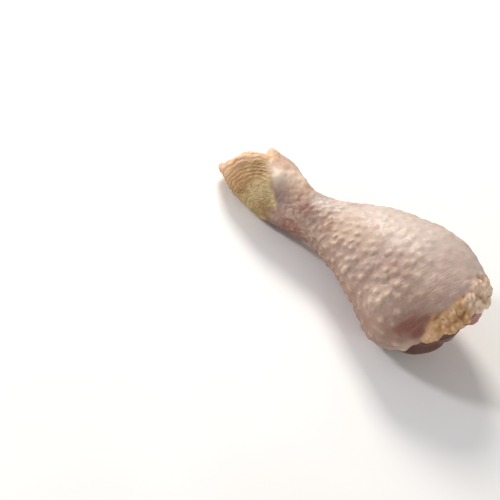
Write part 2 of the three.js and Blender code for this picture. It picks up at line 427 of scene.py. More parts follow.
# %% Where the scales are
PATCH_PATH, PATCH_DEGREES = 29, 192  # the middle of the patch
PATCH_EDGE = [  # degrees round the leg, and how far from the ankle the scales reach there
    (60, 10), (96, 18), (123, 23), (136, 27), (151, 32), (163, 34),
    (184, 32), (200, 34), (235, 31), (260, 25), (300, 10),
]
patch_x, patch_y = path - PATCH_PATH, arc_from(PATCH_DEGREES)
patch_distance = np.hypot(patch_x, patch_y) + 0.8 * noise(sleeve, 5, 21) + 0.3 * noise(sleeve, 2, 22)
patch_limit = np.interp(degrees, *zip(*PATCH_EDGE), left=5, right=5)
ragged_limit = patch_limit + 1.9 * noise(sleeve, 5, 23) + 1.7 * noise(sleeve, 1.8, 27)
scales = ease(ragged_limit - path, -1.8, 2.0) * skin_side
print("scaly patch covers", int(scales[:OUTSIDE_ROWS].sum()), "points")

# %% Plates and folds
PLATE_WIDE, PLATE_LONG, FOLD_SPACING = 1.35, 2.0, 1.7


def cells(u, v, seed):
    """Irregular plates one unit across in a plane: 1 inside each and 0 in the creases between them."""
    shift = np.random.default_rng(seed).uniform(0.12, 0.88, (64, 64, 2))
    cell = np.floor(np.stack([u, v], axis=-1)).astype(int)
    reach = []
    for step in np.ndindex(3, 3):
        there = cell + np.array(step) - 1
        middle = there + shift[there[..., 0] % 64, there[..., 1] % 64]
        reach.append(np.hypot(u - middle[..., 0], v - middle[..., 1]))
    reach = np.sort(np.stack(reach), axis=0)
    return np.clip((reach[1] - reach[0]) / 0.7, 0, 1) ** 0.7


patch_arc = np.arctan2(patch_y, patch_x) * np.maximum(patch_distance, 3)
plate = cells(patch_distance / PLATE_WIDE, patch_arc / PLATE_LONG, 24)
fold_place = (patch_distance - 12 + 0.5 * noise(sleeve, 2.5, 26)) / FOLD_SPACING
folds = 0.5 + 0.5 * np.cos(2 * math.pi * fold_place)
fold_zone = ease(patch_distance, 10, 15) * sector(185, 0.95)
patch_relief = 0.6 * plate * (1 - 0.6 * fold_zone) * ease(degrees, 95, 130) + fold_zone * 0.6 * folds
# darker lines between the plates, and painted shade in the troughs of the folds
crease_and_shade = scales * (1 - np.where(fold_zone > 0.5, folds, plate))
rim = 1 - ease(path - starts + 1.2 * noise(sleeve, 4, 25), 0.8, 4.4 + 3.5 * sector(115, 0.5))
print("patch relief, mm:", span(patch_relief))

# %% [markdown]
# ## The fringe of fat
# At the knee the skin was cut through its fat. The fat swells out in soft yellow beads 2 mm across,
# gathered in masses of about 5 mm, with orange hollows between them and a few round pores with raised rims.
# A heap of balls would look loose, and this fat is one mass, so it is relief too. Its border with the skin
# is paler, and at the upper end the beads are paler and pinker. Each bead is the space round one random
# point, set in three dimensions, so it stays round wherever the surface runs.

# %% Beads and masses
def granules(points, size, seed):
    """Round lumps packed together: 1 at the middle of each, about 0 where they touch."""
    shift = np.random.default_rng(seed).uniform(0.1, 0.9, (24, 24, 24, 3))
    cell = np.floor(points / size).astype(int)
    nearest = np.full(points.shape[:-1], 9.0)
    for step in np.ndindex(3, 3, 3):
        there = cell + np.array(step) - 1
        middle = there + shift[tuple(np.moveaxis(there % 24, -1, 0))]
        nearest = np.minimum(nearest, np.linalg.norm(points / size - middle, axis=-1))
    return 1 - np.clip(nearest / 0.8, 0, 1) ** 2


beads = granules(sleeve + 0.5 * noise(sleeve, 3, 33)[..., None], 1.9, 32)
masses = granules(sleeve, 5.0, 34)
print("beads, mean height:", beads.mean().round(2))

# %% Where the fat is
FAT_EDGE = [  # degrees round the leg, and how far from the ankle the fat starts there
    (0, 114), (30, 109), (60, 107.5), (79, 107), (101, 107.5), (123, 107), (139, 107),
    (159, 107), (178, 107.6), (191, 108.2), (205, 110), (240, 116), (360, 114),
]
PORES = [(109.2, 130), (109.7, 143), (112.4, 124), (110.6, 107), (113.2, 96)]  # along and round the leg
fat_start = np.interp(degrees, *zip(*FAT_EDGE))
ragged_path = path + 1.6 * noise(sleeve, 4, 31) + 0.6 * noise(sleeve, 1.8, 37)
fat = ease(ragged_path - fat_start, -1.6, 2.2) * skin_side
upper_end = 1 - ease(angle + 0.25 * noise(sleeve, 4, 38), math.radians(90), math.radians(132))
hollow = fat * sector(136, 0.5) * ease(noise(sleeve, 3.6, 36) + 0.4 - 0.6 * masses, -0.3, 0.5)
pores = np.clip(sum(spot(*place, 0.5) for place in PORES), 0, 1)
pore_rims = np.clip(sum(spot(*place, 1.3) for place in PORES), 0, 1)
fat_relief = (
    (0.7 + 0.3 * upper_end) * beads + 2.2 * masses - 1.1
    - 0.6 * hollow + 0.3 * pore_rims - 0.6 * pores
)
print("fat covers", int(fat[:OUTSIDE_ROWS].sum()), "points")

# %% [markdown]
# ## Everything else that shapes the skin
# Under the skin lie the ankle's knuckle, a tendon and the muscles, and they press through it as soft
# swellings with a sunk place between them. The loose skin of the neck is lumpy. Beside the fat runs a
# groove with a bruised red patch, and there the stretched skin has fine streaks that run round the leg. In
# a sculpt each would be a stroke of a brush. Here each is a spot, a sector or noise, times its height.

# %% Swellings
knob = spot(26, 118, 3.7)
knuckle = spot(30.5, 88, 4.6)
sunk_place = spot(29.5, 148, 3.0) + 0.8 * spot(34, 139, 2.8) + 0.2 * spot(36.5, 127, 2.4)
tip_zone = sector(80, 0.6) * (1 - ease(path, 36, 44)) * (1 - scales)
tendon = sector(78, 0.22) * ease(path, 27, 33) * (1 - ease(path, 40, 47))
neck_zone = ease(path, 29, 36) * (1 - ease(path, 50, 62))
shown_neck = sector(145, 1.2)
neck_lumps = granules(sleeve + 0.7 * noise(sleeve, 2.2, 47)[..., None], 2.1, 46)
lumps = 0.5 * neck_lumps + 0.25 + 0.25 * noise(sleeve, 3.6, 48)
groove = np.exp(-(((path - fat_start + 1.2) / 1.6) ** 2)) * sector(162, 0.3)
bruise = np.clip(spot(103, 167, 4.6) + 0.5 * spot(103.5, 150, 4.5) + 0.4 * spot(101, 180, 4), 0, 1)
# a red bruise, and painted shade along the groove by the fat
bruise_and_groove_shade = np.clip(bruise + 0.8 * groove, 0, 1)
print("neck covers", int(neck_zone[:OUTSIDE_ROWS].sum()), "points")

# %% Streaks
STREAK_ALONG, STREAK_ROUND, STREAK_RADIUS = 0.98, 0.21, 25  # their lean, where the leg is 25 mm in radius
streak_zone = sector(138, 0.8) * ease(path, 84, 97) * (1 - ease(path, 106, 109))
streak_across = STREAK_ALONG * path + STREAK_ROUND * STREAK_RADIUS * angle + 0.8 * noise(sleeve, 9, 41)
streak_along = STREAK_ROUND * path - STREAK_ALONG * STREAK_RADIUS * angle
streaks = noise(np.stack([streak_across, streak_along / 6, path * 0], axis=-1), 1.0, 42)
print("streaks cover", int(streak_zone[:OUTSIDE_ROWS].sum()), "points")

# %% All the relief, in millimetres
bare_skin = 1 - scales
relief = (
    - 0.5 * groove
    + 0.55 * noise(sleeve, 17, 44)
    + 0.25 * noise(sleeve, 6, 45)
    + 0.14 * layered(sleeve, 3.4, 43) * bare_skin
    + 0.65 * neck_zone * bare_skin * (lumps - 0.5) * (0.45 + 0.55 * shown_neck)
    + (1.3 * mounds + 0.6 * halos - 0.7 * mound_level) * (1 - 0.6 * bruise_and_groove_shade) * (1 - fat) * bare_skin
    + 1.2 * knob
    + 1.0 * knuckle
    - 0.9 * sunk_place
    + 0.22 * (knob + knuckle + sunk_place) * noise(sleeve, 2.2, 50)
    + 0.8 * tendon
    + scales * (patch_relief - 0.2 + 0.45 * noise(sleeve, 4.5, 53))
    + 0.45 * rim
    + 0.25 * rim * skin_side * sector(140, 0.7) * folds
    + 0.4 * tip_zone * layered(sleeve, 4.5, 49)
    + fat * fat_relief
    + 0.03 * streak_zone * streaks
)
skin_points = sleeve + out * (relief * skin_side)[..., None]
skin_points[..., 2] = np.maximum(skin_points[..., 2], 0)
print("relief, mm:", span(relief[:OUTSIDE_ROWS]))

# %% [markdown]
# ## Where each colour goes
# Raw skin is thin, so its colour changes from place to place with what lies under it, and some tints here are
# painted shade and painted highlights. Colours could be painted on the mesh by hand. Masks are made of the
# same spots, sectors and lumps as the relief instead, so a bump and its colour fall together: each point
# carries a number for how much of each tint it gets.

# %% Masks of the tints
lip_band = ease(path - ends, -6, -1) * sector(200, 0.5)
mottle = neck_zone * ease(layered(sleeve, 7, 51), -0.2, 0.8)
mottle = mottle + 0.6 * spot(46.5, 190, 4.5) + 0.35 * spot(40.5, 140, 4.5)
# lilac of veins under the skin, with painted shade in the sunk place by the knob, low on the side and on the
# calf
lilac_and_shade = sunk_place + 0.35 * sector(190, 0.9) * ease(path, 45, 95) + 0.45 * spot(79, 146, 8)
cream_and_highlight = (
    (knob + 0.9 * knuckle) * (0.8 + 0.4 * noise(sleeve, 2.6, 52))
    + 0.5 * lip_band
    + 0.35 * sector(70, 0.8) * ease(path, 45, 70)
    # a painted highlight on the belly
    + 0.45 * spot(96.5, 124, 6)
)
# painted shade: darker low on the side from the neck on, in the belly's middle and beside the bruise
painted_shade = 0.5 * spot(91, 128, 10) + sector(208, 0.6) * ease(path, 33, 42) + 0.6 * spot(101, 184, 8)
print("lilac:", span(lilac_and_shade), "cream:", span(cream_and_highlight), "shade:", span(painted_shade))

# %% All the skin's masks
bumpy = (1 - fat) * bare_skin * (1 - 0.8 * bruise_and_groove_shade)
skin_masks = {
    "follicle": np.clip(mounds, 0, 1) * bumpy,
    "halo": np.clip(halos, 0, 1) * bumpy,
    "pale": sector(88, 0.6) * ease(path, 32, 50) * (1 + 0.25 * ease(path, 84, 98)),
    "lilac_and_shade": np.clip(lilac_and_shade, 0, 1),
    "painted_shade": np.clip(painted_shade, 0, 1),
    "warm": np.clip(spot(60, 128, 10), 0, 1),
    "flush": ease(path, 88, 100) * sector(104, 0.55),
    "tip": tip_zone,
    "cream_and_highlight": np.clip(cream_and_highlight, 0, 1),
    "mottle": np.clip(mottle, 0, 1),
    "neck": neck_zone * ease(lumps, 0.25, 1.0) * (0.3 + 0.7 * shown_neck),
    "bruise_and_groove_shade": bruise_and_groove_shade * (0.78 + 0.45 * streaks),
    "streak": np.clip(0.5 + 0.5 * streaks, 0, 1) * streak_zone,
    "scales": scales,
    "crease_and_shade": np.clip(crease_and_shade, 0, 1),
    "fold": fold_zone * scales,
    # painted highlight along the scaly patch's border
    "border_highlight": scales * ease(path - patch_limit, -6, -1.5) * sector(150, 0.35),
    "fat": fat,
    "pale_fat": upper_end,
    "fat_rim": 1 - ease(path + 1.2 * noise(sleeve, 3, 39) - fat_start, 0.2, 3.6),
    # paler tops of the beads, with a painted highlight
    "bead": fat * np.clip(0.65 * beads + 0.35 * masses, 0, 1) * (0.75 + 0.25 * upper_end),
    # painted shade between the beads
    "cleft_shade": fat * ease(1.5 - beads - masses, 0.5, 1.3),
    "hollow": np.clip(hollow, 0, 1),
    "pore_rim": pore_rims * (1 - pores) * fat,
    "pore": pores * fat,
    "rim": rim * skin_side * (1 - 0.6 * sector(62, 0.35)),
    "inner": 1 - skin_side,
    "coarse": 0.28 + 0.72 * sector(180, 0.85),
    "streak_zone": streak_zone,
    "across": streak_across,
    "along": streak_along,
}
for table in (skin_points, *skin_masks.values()):
    table[:, -1] = table[:, 0]  # the seam's two sides are one place
    table[-1] = table[0]
print("skin masks:", len(skin_masks))

# %% [markdown]
# ## The skin goes into the frame
# The form is measured along the leg from the ankle, and the CAD part has its origin under the middle of its
# box. The object could be moved there, but a finished piece keeps its place in its mesh. So every point
# moves by what lies between the middle of the CAD skin's box and that of the plain sleeve's.

# %% Make the skin
cad_skin = np.array([list(end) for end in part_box("skin")]) / MM
sleeve_ends = np.array([sleeve.min((0, 1)), sleeve.max((0, 1))])
leg_to_frame = (cad_skin.mean(0) - sleeve_ends.mean(0)) * (1, 1, 0)
skin = roll_sheet("skin_sleeve", skin_points + leg_to_frame, skin_masks)
print("leg to frame, mm:", leg_to_frame.round(2))

# %% [markdown]
# ## The bone's place
# A straight leg bone runs from the sawn face to its thick end inside the knee. The meat is made round it,
# so its line and its outline come first. It could be a lathed profile, but the slanted saw cut then needs a
# boolean, and here the same halving finds where the bone meets the cut.

# %% The bone's line and outline
GAP = 0.35  # between one piece and the next
BONE_LENGTH, SHAFT, ANKLE_KNUCKLE, KNEE_KNUCKLE = 94, 4.0, 7.6, 9.0  # the last three are radii
BONE_START, BONE_AIM = np.array([-4, 0, 11.2]), np.array([104, 0, 22.5])
bone_along = unit(BONE_AIM - BONE_START)
bone_side = np.array([0.0, 1.0, 0.0])
bone_up = np.cross(bone_along, bone_side)


def bone_radius(distance):
    """The shaft's radius, swelling to a knuckle at each end."""
    part = np.clip(distance / (BONE_LENGTH - 5), 0, 1)
    ankle = (ANKLE_KNUCKLE - SHAFT) * np.exp(-((part / 0.2) ** 2))
    knee = (KNEE_KNUCKLE - SHAFT) * np.exp(-(((1 - part) / 0.16) ** 2))
    return SHAFT + ankle + knee


def bone_point(distance, angle, radius):
    across = np.cos(angle)[..., None] * bone_side + np.sin(angle)[..., None] * bone_up
    return BONE_START + distance[..., None] * bone_along + radius[..., None] * across


print("bone, mm:", BONE_LENGTH, "radius at its middle:", round(float(bone_radius(BONE_LENGTH / 2)), 1))

# %% Rings round the bone
MEAT_COLUMNS = 225
meat_angle = np.linspace(0, 2 * math.pi, MEAT_COLUMNS)
all_round = np.ones(MEAT_COLUMNS)


def rows_between(first, last, count):
    """Straight rows from one ring to another, the first left out."""
    shares = np.linspace(0, 1, count + 1)[1:, None, None]
    return first + (last - first) * shares


def bone_ring(distance, radius):
    return bone_point(distance * all_round, meat_angle, radius * all_round)


def sawn_ring(grown, recess):
    """The ring where the bone, grown by a gap, meets the sawn plane, and how far along the bone that is."""

    def at(distance):
        return bone_point(distance, meat_angle, bone_radius(distance) + grown)

    where = meet(ANKLE_CUT, at, -recess * all_round, 60.0, -4.0)
    return at(where), where


# %% [markdown]
# ## The meat
# Inside the skin the meat is hidden, so it needs few rows there. It shows at the knee, where the cut
# muscles stand as smooth rounded lobes with furrows between them, one loose end hanging out below, and as a
# thin ring round the sawn bone. The sheet starts at the far end of the bone, comes back along it to the
# sawn face, goes along under the skin and closes over the knee's cut face. A boolean could drill the
# channel instead, but one sheet keeps clean rows.

# %% Rows of the hidden meat
MEAT_INSET = 2 * EDGE + GAP  # under the skin
ANKLE_INSET = 2 * LIP + 0.2  # under the thicker lip
SAWN_RECESS = 1.6  # how far the sawn meat has shrunk back

channel_mouth, mouth_distance = sawn_ring(GAP, SAWN_RECESS)
channel = [
    bone_ring(BONE_LENGTH + GAP, 0),
    bone_ring(BONE_LENGTH + GAP, 4),
    bone_ring(BONE_LENGTH - 4, KNEE_KNUCKLE + GAP),
]
for share in np.linspace(0, 1, 12)[1:]:
    distance = (BONE_LENGTH - 4) * (1 - share) + mouth_distance * share
    channel.append(bone_point(distance, meat_angle, bone_radius(distance) + GAP))


def under_lip(path):
    return leg_point(path, meat_angle, ANKLE_INSET)


meat_start = meet(ANKLE_CUT, under_lip, -SAWN_RECESS * all_round, 40.0, -6.0)
sawn_face = rows_between(channel_mouth, under_lip(meat_start), 8)
meat_end = knee_edge(meat_angle)
covered = []
for share in np.linspace(0, 1, 25)[1:]:
    here = meat_start + (meat_end - meat_start) * share
    depth = ANKLE_INSET + (MEAT_INSET - ANKLE_INSET) * ease(here - meat_start, 0, 7)
    covered.append(leg_point(here, meat_angle, depth))
print("meat rows so far:", len(channel) + len(sawn_face) + len(covered))

# %% [markdown]
# The cut face itself could be a bundle of separate muscles, but the cut goes through them all and leaves
# one face, so they are relief as well. Past the skin's edge every point that would lie beyond the cut is
# drawn back to it, but for a low dome. Then the muscles' relief is raised along the way the cut faces. Each
# lobe has a middle, and its height falls off towards the furrow that it shares with its neighbour. The rim
# next to the skin sinks, the loose end is pushed out, and a last softening takes the sharp ridges off.

# %% The plain cut face
FACE_ROWS = 120
FLAP_ANGLE, FLAP_SPREAD = 4.05, 0.42  # the loose end
DOME = 1.4  # how far the face may rise past the cut
face_out = unit(SKIN_CUT[1])
face_across = unit(bone_side - face_out[1] * face_out)
face_up = np.cross(face_out, face_across)
face_up = face_up * np.sign(face_up[2])

bare_share = np.linspace(0, 1, FACE_ROWS + 1)[1:, None]
bare_path = meat_end + (PATH_END - meat_end) * bare_share**1.1
bare_angle = np.broadcast_to(meat_angle, bare_path.shape)
loose = hump(meat_angle, FLAP_ANGLE, FLAP_SPREAD)
swell = ease(bare_path, meat_end + 6 - 4 * loose, meat_end + 16 - 6 * loose)
bare = leg_point(bare_path, bare_angle, MEAT_INSET + (-0.6 - MEAT_INSET) * swell)
past = beyond(SKIN_CUT, bare)
kept = np.where(past > 0, DOME * (1 - np.exp(-np.clip(past, 0, None) / DOME)), past)
bare = bare + face_out * (kept - past)[..., None]
print("farthest past the cut, mm:", kept.max().round(2))

# %% Lobes, furrows and the loose end
LOBES = [(-13, 6), (4, 11), (17, 3), (6, -8), (-9, -9), (-20, -4), (20, 12)]  # across and up the face, mm
face_middle = SKIN_CUT[0] + (0, 10.0, -1.0)
flat_x = (bare - face_middle) @ face_across
flat_y = (bare - face_middle) @ face_up
bent_x = flat_x + 1.6 * noise(bare, 9, 61)
bent_y = flat_y + 1.6 * noise(bare, 9, 62)
apart = np.stack([np.hypot(bent_x - x, (bent_y - y) * 1.25) for x, y in LOBES])
nearest, second = np.sort(apart, axis=0)[:2]
furrow_distance = second - nearest
lobe_height = 1 - np.exp(-furrow_distance / 3.2)
on_face = ease(past, 0.3, 4)
inner_face = ease(past, 0.5, 6)
rim_of_face = 1 - inner_face
lower_rim_shade = hump(bare_angle, 2.95, 0.6) * (1 - ease(past, 3, 9))
flap = hump(bare_angle, FLAP_ANGLE, FLAP_SPREAD) * np.sin(math.pi * bare_share)
loose_part = ease(flap, 0.1, 0.45)
muscle_grain = noise(np.stack([flat_x * 0.9, flat_y * 3.0, flat_x * 0], axis=-1), 2.2, 63)
raised = on_face * (3.4 * lobe_height - 1.2 + 0.35 * noise(bare, 5, 64) + 0.03 * muscle_grain) + 6.0 * flap
raised = raised * (inner_face + rim_of_face * loose_part) - 0.8 * rim_of_face * on_face * (1 - loose_part)
raised = soften(raised, 8)
bare = bare + face_out * raised[..., None]
bare[..., 2] = np.maximum(bare[..., 2], 0)
bare[-1] = bare[-1].mean(0)
print("cut face relief, mm:", span(raised))

# %% Make the meat
sawn_rows = len(channel) + len(sawn_face)


def masked_face(values):
    """A mask of the cut face, with nothing on the rows before it."""
    return np.concatenate([np.zeros((sawn_rows + len(covered), MEAT_COLUMNS)), values])


meat_masks = {
    "muscle": masked_face(np.argmin(apart, axis=0) / (len(LOBES) - 1)),
    "furrow": masked_face(on_face * np.exp(-furrow_distance / 1.1)),
    "film": masked_face(rim_of_face * (1 - np.clip(flap * 3, 0, 1))),
    # painted shade: the loose end and the lower rim are darkened
    "flap": masked_face(soften(np.clip(1.6 * flap**0.8 + 0.5 * lower_rim_shade, 0, 1), 8)),
    "sawn": np.repeat([1.0, 0.0], [sawn_rows, len(covered) + FACE_ROWS])[:, None] * all_round,
}
meat_rows = np.concatenate([channel, sawn_face, covered, bare])
meat = roll_sheet("muscle_meat", meat_rows + leg_to_frame, meat_masks)

# %% [markdown]
# ## The bone
# Only its sawn end shows: a hard pale rim, spongy bone inside it, and dark red marrow. The sheet starts at
# the middle of that face, spreads to the rim and then runs along the hidden bone. The marrow has sunk a
# little below the rim. Its sponge could be cut with hundreds of holes, but at this size uneven relief shows
# it as well.

# %% Make the bone
BONE_RECESS = 1.2  # how far the skin stands out past the sawn bone
DISC_ROWS = 44
bone_rim, rim_distance = sawn_ring(0, BONE_RECESS)
bone_middle = np.broadcast_to(bone_rim[:-1].mean(0), bone_rim.shape)
disc = np.concatenate([[bone_middle], rows_between(bone_middle, bone_rim, DISC_ROWS)])
disc_share = np.linspace(0, 1, DISC_ROWS + 1)[:, None] * all_round
sponge = layered(disc, 1.5, 71)
marrow = 1 - ease(disc_share + 0.05 * noise(disc, 4, 72), 0.72, 0.84)
sunk = marrow * (0.55 + 0.35 * sponge) - (1 - marrow) * 0.12 * noise(disc, 2, 73)
disc = disc - unit(ANKLE_CUT[1]) * (sunk * (1 - ease(disc_share, 0.96, 1)))[..., None]
shaft = []
for share in np.linspace(0, 1, 21)[1:]:
    distance = rim_distance * (1 - share) + (BONE_LENGTH - 5) * share
    shaft.append(bone_point(distance, meat_angle, bone_radius(distance)))
shaft += [bone_ring(BONE_LENGTH - 1, KNEE_KNUCKLE * 0.55), bone_ring(BONE_LENGTH, 0)]
plain = np.zeros((len(shaft), MEAT_COLUMNS))
bone_masks = {
    "marrow": np.concatenate([marrow, plain]),
    "sponge": np.concatenate([0.5 + 0.5 * sponge, plain]),
}
bone = roll_sheet("sawn_bone", np.concatenate([disc, shaft]) + leg_to_frame, bone_masks)

# %% [markdown]
# ## Materials
# Colours are written as sRGB hex, as they look, and turned linear for the renderer. One small function adds
# a node with its settings and its links. The masks that came with the points say where each colour goes, so
# a material is mostly a list of tints laid one over the other. An image could hold them too, but it would
# have to be unwrapped and drawn, and it blurs close up.

# %% Colour and node helpers
def linear(code):
    """An sRGB hex colour as linear RGBA."""
    parts = [int(code[i:i + 2], 16) / 255 for i in (1, 3, 5)]
    return (*[c / 12.92 if c <= 0.04045 else ((c + 0.055) / 1.055) ** 2.4 for c in parts], 1)


def add(tree, kind, settings=None, **inputs):
    """Adds a node. settings are its own fields. inputs are values, or sockets to link from, and a node
    stands for its first output. Base_Color is the socket of that name, and _6 the one at place 6."""
    made = tree.nodes.new(kind)
    for field, value in (settings or {}).items():
        setattr(made, field, value)
    for name, value in inputs.items():
        socket = made.inputs[int(name[1:])] if name[0] == "_" else made.inputs[name.replace("_", " ")]
        if isinstance(value, bpy.types.Node):
            value = value.outputs[0]
        if isinstance(value, bpy.types.NodeSocket):
            tree.links.new(value, socket)
        else:
            socket.default_value = value
    return made


def start(name, mesh):
    """Gives a mesh a new material, and returns the material's empty tree."""
    material = bpy.data.materials.new(name)
    material.use_nodes = True
    material.node_tree.nodes.clear()
    mesh.materials.append(material)
    return material.node_tree


# %% Patterns, masks and tints
def speckle(tree, millimetres, detail=3.0, low=0.35, high=0.65):
    """Noise with spots about this size, as a factor."""
    place = add(tree, "ShaderNodeTexCoord").outputs["Object"]
    cloud = add(tree, "ShaderNodeTexNoise", Vector=place, Scale=1000 / millimetres / 2, Detail=detail)
    return add(tree, "ShaderNodeMapRange", _0=cloud, _1=low, _2=high)


def patchy_roughness(tree, millimetres, low, high):
    """Roughness that wanders between two values in patches of about this size."""
    return add(tree, "ShaderNodeMapRange", _0=speckle(tree, millimetres), _3=low, _4=high)


def mask(tree, name, low=0.0, high=1.0):
    """One of the masks that came with the points, stretched between low and high."""
    read = add(tree, "ShaderNodeAttribute", {"attribute_name": name})
    smooth = {"interpolation_type": "SMOOTHSTEP"}
    return add(tree, "ShaderNodeMapRange", smooth, _0=read.outputs["Fac"], _1=low, _2=high)


def tint(tree, below, above, where, amount=1.0):
    """Lays a hex colour, or a colour already mixed, over the one below, as far as where and amount say."""
    under, over = (linear(colour) if isinstance(colour, str) else colour for colour in (below, above))
    share = add(tree, "ShaderNodeMath", {"operation": "MULTIPLY"}, _0=where, _1=amount)
    return add(tree, "ShaderNodeMix", {"data_type": "RGBA"}, _0=share, _6=under, _7=over).outputs[2]


def lay_tints(tree, colour, tints):
    """Lays tints in turn: each is a mask, a colour, an amount and, if need be, the mask's range."""
    for name, code, amount, *span in tints:
        colour = tint(tree, colour, code, mask(tree, name, *span), amount)
    return colour


# %% [markdown]
# ### Raw chicken skin
# Chilled raw skin is thin, moist and slightly see-through: pink muscle and lilac veins show through a cream
# layer. Paint alone would look like clay: light goes a few millimetres in, so it has subsurface scattering,
# and a film of moisture gives it a soft gloss that breaks up over its grain. The real grain is pores about
# 0.4 mm across, which are drawn at 0.7 mm, so that they show.

# %% Colours of the bare skin
tree = start("raw_chicken_skin", skin.data)
colour = tint(tree, "#9b7d70", "#a88e82", speckle(tree, 9))
colour = tint(tree, colour, "#936156", speckle(tree, 6, 4, 0.46, 0.7), 0.6)
colour = tint(tree, colour, "#c9b19b", speckle(tree, 7.5, 4, 0.5, 0.72), 0.5)
colour = lay_tints(tree, colour, [
    ("pale", "#c6b7ae", 0.8),  # along the top
    ("lilac_and_shade", "#8a716b", 0.75),  # lilac of veins, and painted shade in the sunk place, low on the side and on the calf
    ("painted_shade", "#835849", 0.8),  # painted shade low on the side, in the belly's middle and beside the bruise
    ("warm", "#dcbf9f", 0.25),
    ("flush", "#cda195", 0.35),  # the stretched belly
    ("tip", "#e2bfa2", 0.6),  # peach skin at the sawn tip
    ("cream_and_highlight", "#e6d3c0", 0.75),  # knob, knuckle and the lip of the cut edge, and a painted highlight on the belly
    ("mottle", "#965e50", 0.6),
    ("neck", "#dcc0aa", 0.4),  # the tops of the neck's lumps
    # red bruise, and painted shade in the groove by the fat
    ("bruise_and_groove_shade", "#804334", 0.78, 0.1, 0.9),
    ("streak", "#d8c6ba", 0.2, 0.5, 0.9),
    ("halo", "#d3bda8", 0.33, 0.0, 1.4),
    ("follicle", "#efdcbc", 0.6, 0.05, 1.1),
])
print("nodes so far:", len(tree.nodes))

# %% Colours of the fat, the scales and the rims
fat_colour = lay_tints(tree, tint(tree, "#b98852", "#c59a68", speckle(tree, 3)), [
    ("pale_fat", "#d8b9a3", 0.9),
    ("fat_rim", "#cfae8e", 0.5),
    # paler tops of the beads, with a painted highlight
    ("bead", "#eed9c0", 0.8, 0.35, 1.0),
    # painted shade between the beads
    ("cleft_shade", "#a66f40", 0.45),
    ("hollow", "#b07238", 0.65),
    ("pore_rim", "#e2c9ac", 0.6, 0.1, 0.7),
    ("pore", "#8f5f33", 0.7, 0.3, 0.95),
])
scale_colour = lay_tints(tree, tint(tree, "#97794b", "#c8ae80", speckle(tree, 4, 3.0, 0.38, 0.62)), [
    # darker lines between the plates, and painted shade in the folds
    ("crease_and_shade", "#8a6a40", 0.4, 0.3, 1.0),
    ("border_highlight", "#d8c592", 0.55),  # painted highlight on the yellow plates along the border
    ("fold", "#c08d62", 0.5),
])
colour = tint(tree, colour, fat_colour, mask(tree, "fat", 0.1, 0.9))
colour = tint(tree, colour, scale_colour, mask(tree, "scales"))
colour = lay_tints(tree, colour, [("rim", "#dcb48f", 0.9, 0.1, 0.9), ("inner", "#cfae90", 0.7)])
print("nodes so far:", len(tree.nodes))

# %% Grain, streaks and gloss
STREAK = 0.25  # mm across
product = {"operation": "MULTIPLY"}
grain = speckle(tree, 0.7, 3.0, 0.3, 0.7)
grain_height = add(tree, "ShaderNodeMath", product, _0=grain, _1=mask(tree, "coarse"))
grain_bump = add(tree, "ShaderNodeBump", Strength=0.8, Distance=0.35 * MM, Height=grain_height)
across = add(tree, "ShaderNodeAttribute", {"attribute_name": "across"})
along = add(tree, "ShaderNodeAttribute", {"attribute_name": "along"})
slow_along = add(tree, "ShaderNodeMath", product, _0=along.outputs["Fac"], _1=0.12)  # draws streaks out
streak_place = add(tree, "ShaderNodeCombineXYZ", X=across.outputs["Fac"], Y=slow_along)
fine_streaks = add(tree, "ShaderNodeTexNoise", Vector=streak_place, Scale=1 / STREAK / 2, Detail=3.0)
where_streaked = mask(tree, "streak_zone", 0.0, 0.9)
streak_height = add(tree, "ShaderNodeMath", product, _0=fine_streaks, _1=where_streaked)
fine_bump = add(tree, "ShaderNodeBump", Strength=0.8, Distance=0.5 * MM, Height=streak_height,
                Normal=grain_bump)
wet_mounds = add(tree, "ShaderNodeMath", product, _0=mask(tree, "follicle"), _1=0.14)
patches = patchy_roughness(tree, 2.4, 0.46, 0.66)
roughness = add(tree, "ShaderNodeMath", {"operation": "SUBTRACT"}, _0=patches, _1=wet_mounds)
print("nodes so far:", len(tree.nodes))

# %% Skin shader
skin_shader = add(tree, "ShaderNodeBsdfPrincipled", {"subsurface_method": "RANDOM_WALK"},
                  Base_Color=colour, Roughness=roughness, IOR=1.4, Normal=fine_bump,
                  Subsurface_Weight=0.22, Subsurface_Radius=(1.0, 0.45, 0.3), Subsurface_Scale=1.6 * MM,
                  Coat_Weight=0.12, Coat_Roughness=0.2)
add(tree, "ShaderNodeOutputMaterial", Surface=skin_shader)
print("skin material nodes:", len(tree.nodes))

# %% [markdown]
# ### Raw dark meat
# Leg muscle is deep pink with a wet shine. A thin milky film gathers white in the furrows and lies grey
# over the rim, and the loose end and the lower rim are darkened red-brown as painted shade. Its fibres are
# about 0.3 mm across.
# Relief that fine would need many times the points, so they are a bump in the shader.

# %% Meat material
FIBRE = 0.3125  # mm across
tree = start("raw_leg_muscle", meat.data)
colour = tint(tree, "#b87466", "#a4604f", speckle(tree, 8))
colour = tint(tree, colour, "#dfb0a0", speckle(tree, 4, 4, 0.5, 0.75), 0.6)
colour = lay_tints(tree, colour, [
    ("muscle", "#a9574c", 0.35),  # each lobe a little different
    ("furrow", "#ecd2c4", 0.8, 0.15, 1.0),
    ("film", "#967069", 0.88),
    # painted shade: deep red-brown on the loose end and the lower rim
    ("flap", "#502a20", 0.92, 0.0, 0.35),
    ("sawn", "#9a4f47", 0.8),
])
place = add(tree, "ShaderNodeTexCoord").outputs["Object"]
stretch = add(tree, "ShaderNodeMapping", Vector=place, Scale=(0.25, 0.25, 1.0))
fibre = add(tree, "ShaderNodeTexNoise", Vector=stretch, Scale=1000 / FIBRE / 2, Detail=3.0)
fibre_bump = add(tree, "ShaderNodeBump", Strength=0.3, Distance=0.15 * MM, Height=fibre)
